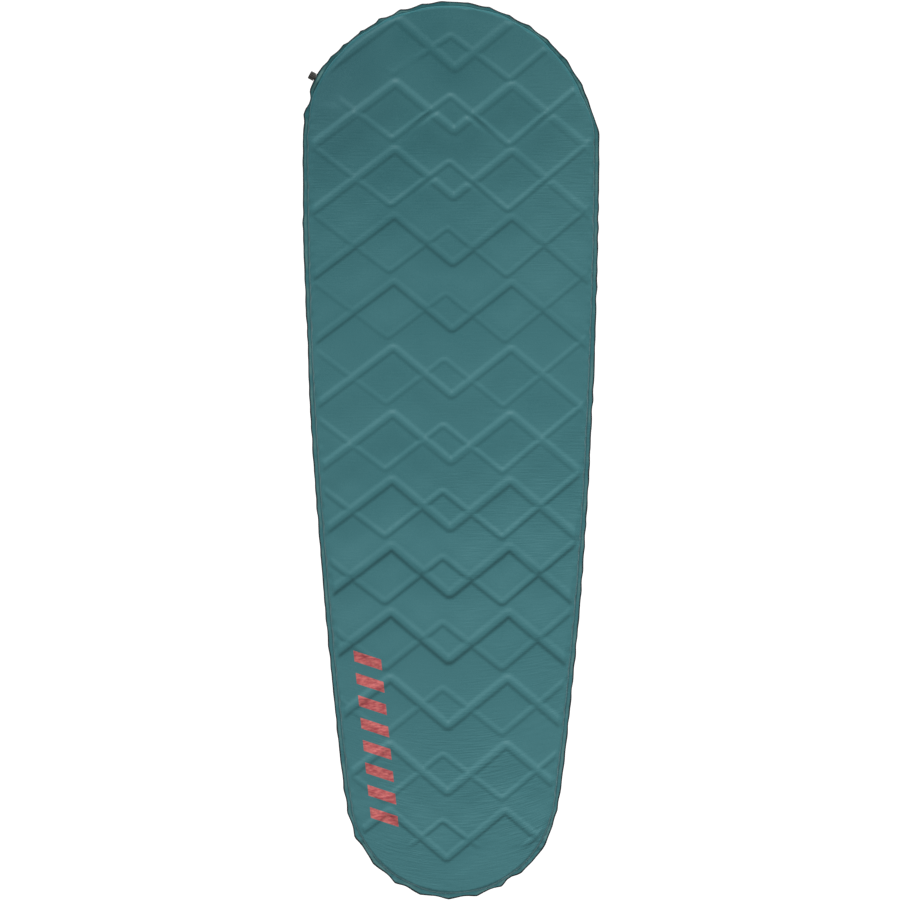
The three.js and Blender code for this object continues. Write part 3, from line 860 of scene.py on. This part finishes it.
class Nodes:
    """Short calls for building a node material."""

    def __init__(self, name):
        self.material = bpy.data.materials.new(name)
        self.material.use_nodes = True
        self.tree = self.material.node_tree
        self.shader = self.tree.nodes["Principled BSDF"]
        self.coords = self.tree.nodes.new("ShaderNodeTexCoord").outputs["Object"]

    def add(self, kind, **inputs):
        node = self.tree.nodes.new(kind)
        for key, value in inputs.items():
            self.feed(node.inputs[key.replace("_", " ")], value)
        return node

    def feed(self, socket, value):
        if isinstance(value, bpy.types.NodeSocket):
            self.tree.links.new(value, socket)
        else:
            socket.default_value = value

    def set(self, key, value):
        self.feed(self.shader.inputs[key], value)

    def math(self, operation, a, b=0.0):
        node = self.tree.nodes.new("ShaderNodeMath")
        node.operation = operation
        self.feed(node.inputs[0], a)
        self.feed(node.inputs[1], b)
        return node.outputs[0]

    def times(self, a, b):
        return self.math("MULTIPLY", a, b)

    def scaled(self, x, y, z):
        """Object coordinates, scaled along each axis."""
        node = self.tree.nodes.new("ShaderNodeVectorMath")
        node.operation = "MULTIPLY"
        self.feed(node.inputs[0], self.coords)
        node.inputs[1].default_value = (x, y, z)
        return node.outputs[0]

    def noise(self, scale, detail=2.0, vector=None):
        node = self.add("ShaderNodeTexNoise", Vector=vector or self.coords, Scale=scale, Detail=detail)
        return node.outputs["Fac"]

    def ramp(self, value, low, high, to_low=0.0, to_high=1.0):
        node = self.add("ShaderNodeMapRange", Value=value)
        for key, number in (("From Min", low), ("From Max", high), ("To Min", to_low), ("To Max", to_high)):
            self.feed(node.inputs[key], number)
        return node.outputs["Result"]

    def mix(self, share, a, b):
        node = self.tree.nodes.new("ShaderNodeMix")
        node.data_type = "RGBA"
        self.feed(node.inputs[0], share)
        self.feed(node.inputs[6], a)
        self.feed(node.inputs[7], b)
        return node.outputs[2]

    def attribute(self, name):
        node = self.tree.nodes.new("ShaderNodeAttribute")
        node.attribute_name = name
        return node.outputs["Fac"]

    def axes(self):
        return self.add("ShaderNodeSeparateXYZ", Vector=self.coords).outputs

    def bump(self, height, distance, strength=1.0, under=None):
        node = self.add("ShaderNodeBump", Height=height, Distance=distance, Strength=strength)
        if under is not None:
            self.feed(node.inputs["Normal"], under)
        return node.outputs["Normal"]


def linear(red, green, blue, factor=1.0):
    """A linear colour from 8-bit sRGB values."""
    def one(value):
        value /= 255
        return value / 12.92 if value <= 0.04045 else ((value + 0.055) / 1.055) ** 2.4
    return (factor * one(red), factor * one(green), factor * one(blue), 1)


def woven(n, pitch):
    """Over-and-under threads of a plain weave, from -1 to 1."""
    x, y, _ = n.axes()
    across = n.math("SINE", n.times(x, 2 * math.pi / pitch))
    lengthways = n.math("SINE", n.times(y, 2 * math.pi / pitch))
    return n.times(across, lengthways)


# Colours in 8-bit sRGB; the sheets' are as they look under the stage's light
# Painted light and shade among these teals: the foot's is painted light; the head's, the left's and the one
# by the valve are painted shade; the pale teal is also laid on as painted light.
TEAL_FOOT_PAINTED_LIGHT, TEAL_MIDDLE, TEAL_HEAD_PAINTED_SHADE = (53, 113, 119), (43, 105, 111), (20, 88, 94)
TEAL_LEFT_PAINTED_SHADE, TEAL_VALVE_PAINTED_SHADE, TEAL_WEFT, TEAL_PALE = (30, 88, 94), (18, 74, 84), (48, 94, 100), (76, 130, 134)
# On the weld, the greener colour and the line colour are painted shade and the shine colour is a painted
# sheen; the edge colour is only darker.
WELD_PAINTED_SHADE, WELD_PAINTED_SHEEN, WELD_CORNER_PAINTED_SHADE, OUTER_EDGE_DARK = (28, 66, 62), (104, 138, 132), (30, 68, 74), (34, 56, 58)
CORAL_DARK, CORAL_PALE = (160, 66, 72), (208, 112, 108)
CHARCOAL_DARK, CHARCOAL_PALE, CHARCOAL_WEFT, SCUFF = (36, 40, 42), (46, 50, 52), (24, 27, 29), (70, 74, 74)
FOAM_SHADE, FOAM_LIGHT, FOAM_AGED = (176, 160, 124), (226, 214, 184), (208, 190, 150)

WEAVE_PITCH = 1.3 * MM
FOOT_BEND = 1.2  # how much the creases curve round the foot
ROLLED_FROM, ROLLED_EVERY = 0.56, 0.68  # Y of a strongly creased band, and the way to the next
PRINT_START = Vector((-197 * MM, -434 * MM))
PRINT_TILT = math.radians(6)
PRINT_WIDTH, PRINT_LENGTH = 55 * MM, 344 * MM
PRINT_SOFT = 0.6 * MM  # width over which the print's edge fades
BAR_PITCH, BAR_SHARE, BAR_SLANT = 45.9 * MM, 0.5, 0.45
LIGHT_LEVEL = 1.15  # what a white surface sends back under the stage's light


def fabric(seen):
    """The fabric's own colour, from how it looks under the stage's light."""
    return linear(*seen, 1 / LIGHT_LEVEL)


def print_share(n):
    """1 on the printed mark: a plain row of slanted bars along the left edge."""
    x, y, _ = n.axes()
    dx = n.math("SUBTRACT", x, PRINT_START.x)
    dy = n.math("SUBTRACT", y, PRINT_START.y)
    cos, sin = math.cos(PRINT_TILT), math.sin(PRINT_TILT)
    u = n.math("ADD", n.times(dx, cos), n.times(dy, sin))
    v = n.math("SUBTRACT", n.times(dx, sin), n.times(dy, cos))
    slanted = n.math("SUBTRACT", v, n.times(u, BAR_SLANT))
    slanted = n.math("ADD", slanted, BAR_SLANT * PRINT_WIDTH)
    phase = n.math("FRACT", n.math("DIVIDE", slanted, BAR_PITCH))
    inside = n.times(n.ramp(u, 0, PRINT_SOFT), n.ramp(u, PRINT_WIDTH, PRINT_WIDTH - PRINT_SOFT))
    inside = n.times(inside, n.ramp(slanted, 0, PRINT_SOFT))
    inside = n.times(inside, n.ramp(slanted, PRINT_LENGTH, PRINT_LENGTH - PRINT_SOFT))
    edge = PRINT_SOFT / BAR_PITCH
    bar = n.times(n.ramp(phase, 0, edge), n.ramp(phase, BAR_SHARE, BAR_SHARE - edge))
    return n.times(inside, bar)


def band(n, inset, start, full, end, gone):
    """1 between two insets in mm, fading on both sides."""
    return n.times(n.ramp(inset, start * MM, full * MM), n.ramp(inset, gone * MM, end * MM))


def edge_colour(n, colour):
    """The weld: darker at the very edge, a flange with paler patches of painted sheen, a line of painted
    shade where the rounded side begins, and painted shade on the flange beside the head.
    """
    inset = n.attribute("inset")
    x, y, _ = n.axes()
    # Painted shade on the flange beside the head, away from the middle line.
    off_middle = n.times(n.ramp(n.math("ABSOLUTE", x), 0.08, 0.2, 0.25, 1), n.ramp(y, 0.6, 0.75))
    flange_painted_shade = n.times(n.ramp(inset, 10 * MM, 7 * MM, 0, 0.3), off_middle)
    colour = n.mix(flange_painted_shade, colour, fabric(WELD_PAINTED_SHADE))
    # Painted sheen: paler patches on the flange.
    painted_sheen = n.times(band(n, inset, 2, 3, 5.5, 7), n.ramp(n.noise(28, 2), 0.42, 0.62, 0, 0.5))
    colour = n.mix(painted_sheen, colour, fabric(WELD_PAINTED_SHEEN))
    # Painted shade in the corner where the rounded side rises from the flange.
    line = n.times(band(n, inset, 7.2, 8.4, 9.4, 10.4), 0.45)
    colour = n.mix(line, colour, fabric(WELD_CORNER_PAINTED_SHADE))
    # Darker at the very edge of the sheet.
    return n.mix(n.ramp(inset, 1.9 * MM, 0.9 * MM), colour, fabric(OUTER_EDGE_DARK))


def top_colour(n):
    """Teal with painted light and shade over the pad: painted light towards the foot and the upper right,
    painted shade towards the head, the left and round the valve; with random paler patches, flecks and the
    weave's weft.
    """
    x, y, _ = n.axes()
    # Painted light towards the foot and painted shade towards the head, from the middle's teal.
    teal = n.mix(n.ramp(y, -0.8, 0.25), fabric(TEAL_FOOT_PAINTED_LIGHT), fabric(TEAL_MIDDLE))
    teal = n.mix(n.ramp(y, 0.2, 0.85), teal, fabric(TEAL_HEAD_PAINTED_SHADE))
    # Painted shade, darker towards the left side.
    teal = n.mix(n.ramp(x, -0.26, 0.3, 0.24, 0), teal, fabric(TEAL_LEFT_PAINTED_SHADE))
    # Painted shade on the head's left, round the valve.
    by_valve = n.times(n.ramp(x, -0.08, -0.24, 0, 0.5), n.ramp(y, 0.5, 0.72))
    teal = n.mix(by_valve, teal, fabric(TEAL_VALVE_PAINTED_SHADE))
    # Painted light, paler towards the upper right.
    upper_right_painted_light = n.times(n.ramp(x, -0.05, 0.25, 0, 0.2), n.ramp(y, 0.05, 0.4))
    patches = n.ramp(n.noise(9, 3), 0.35, 0.65, 0, 0.12)
    flecks = n.times(n.ramp(n.noise(900, 2), 0.35, 0.65), 0.35)
    # Of these, the first is painted light; the patches and flecks are the fabric's own uneven tone.
    for paler in (upper_right_painted_light, patches, flecks):
        teal = n.mix(paler, teal, fabric(TEAL_PALE))
    return n.mix(n.ramp(woven(n, WEAVE_PITCH), -1, 1, 0, 0.18), teal, fabric(TEAL_WEFT))


def crease_height(n):
    """Fine creases across the pad, stronger in bands, to the right and towards the foot."""
    x, y, _ = n.axes()
    creased = n.times(n.ramp(x, -0.05, 0.2, 0.85, 1.15), n.ramp(y, -0.25, -0.6, 0.6, 1.25))
    turns = n.times(n.math("SUBTRACT", y, ROLLED_FROM), 2 * math.pi / ROLLED_EVERY)
    creased = n.times(creased, n.ramp(n.math("COSINE", turns), -1, 1, 0.8, 1.9))
    patches = n.times(n.ramp(n.noise(6, 2), 0.36, 0.6, 0.15, 1), creased)
    round_foot = n.times(n.ramp(y, -0.15, -0.75, 0, FOOT_BEND), n.times(x, x))
    bent_y = n.math("SUBTRACT", y, round_foot)
    bent = n.add("ShaderNodeCombineXYZ", X=n.times(x, 26), Y=n.times(bent_y, 260))
    return n.times(n.noise(1, 3, bent.outputs[0]), patches)


def top_fabric():
    n = Nodes("top_fabric")
    teal = edge_colour(n, top_colour(n))
    printed = print_share(n)
    streak = n.ramp(n.noise(1, 3, n.scaled(90, 260, 90)), 0.35, 0.68)
    coral = n.mix(streak, fabric(CORAL_DARK), fabric(CORAL_PALE))
    worn = n.times(printed, n.ramp(n.noise(420, 3), 0.3, 0.42, 0.72, 1))
    n.set("Base Color", n.mix(worn, teal, coral))
    n.set("Roughness", n.ramp(printed, 0, 1, 0.62, 0.38))
    on_rim = n.ramp(n.axes()[1], 0.5, 0.75, 0.85, 0.3)
    inside = n.ramp(n.attribute("inset"), RIM - 2 * MM, RIM, on_rim, 1)
    n.set("Specular IOR Level", n.times(inside, 0.35))
    n.set("Sheen Weight", n.times(inside, 0.08))
    n.set("Sheen Roughness", 0.4)
    normal = n.bump(crease_height(n), 0.55 * MM, 1.0)
    normal = n.bump(n.noise(120, 4), 0.12 * MM, 0.6, under=normal)
    normal = n.bump(woven(n, WEAVE_PITCH), 0.03 * MM, 0.5, under=normal)
    n.set("Normal", normal)
    return n.material


def bottom_fabric():
    n = Nodes("bottom_fabric")
    patches, scuffs = n.ramp(n.noise(12, 3), 0.35, 0.65), n.ramp(n.noise(260, 4), 0.58, 0.75)
    charcoal = n.mix(patches, fabric(CHARCOAL_DARK), fabric(CHARCOAL_PALE))
    weft = n.ramp(woven(n, WEAVE_PITCH), -1, 1, 0, 0.35)
    charcoal = n.mix(weft, charcoal, fabric(CHARCOAL_WEFT))
    charcoal = n.mix(n.times(scuffs, 0.3), charcoal, fabric(SCUFF))
    n.set("Base Color", charcoal)
    n.set("Roughness", n.ramp(n.noise(40, 3), 0.3, 0.7, 0.62, 0.78))
    n.set("Specular IOR Level", 0.3)
    normal = n.bump(n.noise(1, 3, n.scaled(60, 260, 60)), 0.4 * MM, 0.8)
    normal = n.bump(woven(n, WEAVE_PITCH), 0.04 * MM, 0.7, under=normal)
    n.set("Normal", normal)
    return n.material


def foam_cells():
    n = Nodes("foam_cells")
    cells = n.add("ShaderNodeTexVoronoi", Vector=n.coords, Scale=900).outputs["Distance"]
    cream = n.mix(n.ramp(cells, 0, 0.7), linear(*FOAM_SHADE), linear(*FOAM_LIGHT))
    cream = n.mix(n.ramp(n.noise(30, 3), 0.4, 0.7, 0, 0.4), cream, linear(*FOAM_AGED))
    n.set("Base Color", cream)
    n.set("Roughness", 0.95)
    n.set("Normal", n.bump(cells, 0.5 * MM, 0.8))
    return n.material


def moulded(name, base, scuffed, roughness):
    """Moulded plastic or rubber: fine spark-eroded grain, faint flow marks and paler scuffs."""
    n = Nodes(name)
    scuffs = n.ramp(n.noise(350, 5), 0.55, 0.8, 0, 0.5)
    n.set("Base Color", n.mix(scuffs, linear(*base), linear(*scuffed)))
    n.set("Roughness", n.ramp(n.noise(180, 3), 0.3, 0.7, roughness - 0.06, roughness + 0.08))
    normal = n.bump(n.noise(2600, 2), 0.03 * MM, 0.6)
    n.set("Normal", n.bump(n.noise(240, 2), 0.05 * MM, 0.3, under=normal))
    return n.material


def finish_with(piece, material, slot, body, *nodes):
    piece.data.materials.clear()
    piece.data.materials.append(material)
    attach(piece, body)
    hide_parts(*nodes)


rubber = moulded("seal_rubber", (18, 18, 18), (40, 40, 40), 0.62)
body_plastic = moulded("valve_body_plastic", (38, 38, 33), (70, 70, 62), 0.5)
cap_plastic = moulded("valve_cap_plastic", (31, 30, 25), (66, 64, 54), 0.42)
finish_with(top_sheet, top_fabric(), "top_fabric", "pad", "top_cover")
finish_with(bottom_sheet, bottom_fabric(), "bottom_fabric", "pad", "bottom_cover")
finish_with(foam_slab, foam_cells(), "foam", "pad", "foam_core")
finish_with(stem_detail, body_plastic, "valve_body_plastic", "pad", "valve_stem")
finish_with(plug_detail, body_plastic, "valve_body_plastic", "pad", "valve_plug")
finish_with(plug_seal, rubber, "seal_rubber", "pad", "plug_o_ring")
finish_with(cap_gland_seal, rubber, "seal_rubber", "cap_seal", "cap_o_ring")
finish_with(cap_detail, cap_plastic, "valve_cap_plastic", "cap", "valve_cap")

# ---- Stage, light and camera ----

SUN_HEIGHT = 33  # degrees above the floor, from the head's side
SUN_STRENGTH = 3.65
SUN_SPREAD = 14  # degrees across: soft
SKY_STRENGTH = 0.5
FLOOR_HALF = 6
VIEW_WIDTH = 1.836
VIEW_FROM = (-2 * MM, -1 * MM, 3)  # straight above


def make_floor():
    corners = [(x * FLOOR_HALF, y * FLOOR_HALF, GROUND) for x, y in ((-1, -1), (1, -1), (1, 1), (-1, 1))]
    floor = mesh_object("floor", corners, [(0, 1, 2, 3)])
    n = Nodes("floor_paper")
    n.set("Base Color", (0.3, 0.3, 0.3, 1))
    n.set("Roughness", 0.9)
    n.set("Emission Color", (1, 1, 1, 1))
    n.set("Emission Strength", 0.85)
    floor.data.materials.append(n.material)


def make_light():
    world = bpy.data.worlds.new("studio")
    bpy.context.scene.world = world
    world.use_nodes = True
    sky = world.node_tree.nodes["Background"].inputs
    sky["Color"].default_value = (1, 1, 1, 1)
    sky["Strength"].default_value = SKY_STRENGTH
    sun = bpy.data.lights.new("key", "SUN")
    sun.energy = SUN_STRENGTH
    sun.angle = math.radians(SUN_SPREAD)
    sun.use_shadow = False
    key = bpy.data.objects.new("key", sun)
    key.rotation_euler = (math.radians(SUN_HEIGHT - 90), 0, 0)
    bpy.context.scene.collection.objects.link(key)


def make_camera():
    camera = bpy.data.cameras.new("camera")
    camera.type = "ORTHO"
    camera.ortho_scale = VIEW_WIDTH
    camera.clip_end = 20
    eye = bpy.data.objects.new("camera", camera)
    eye.location = VIEW_FROM
    bpy.context.scene.collection.objects.link(eye)
    bpy.context.scene.camera = eye


make_floor()
make_light()
make_camera()
bpy.context.scene.view_settings.view_transform = "Standard"
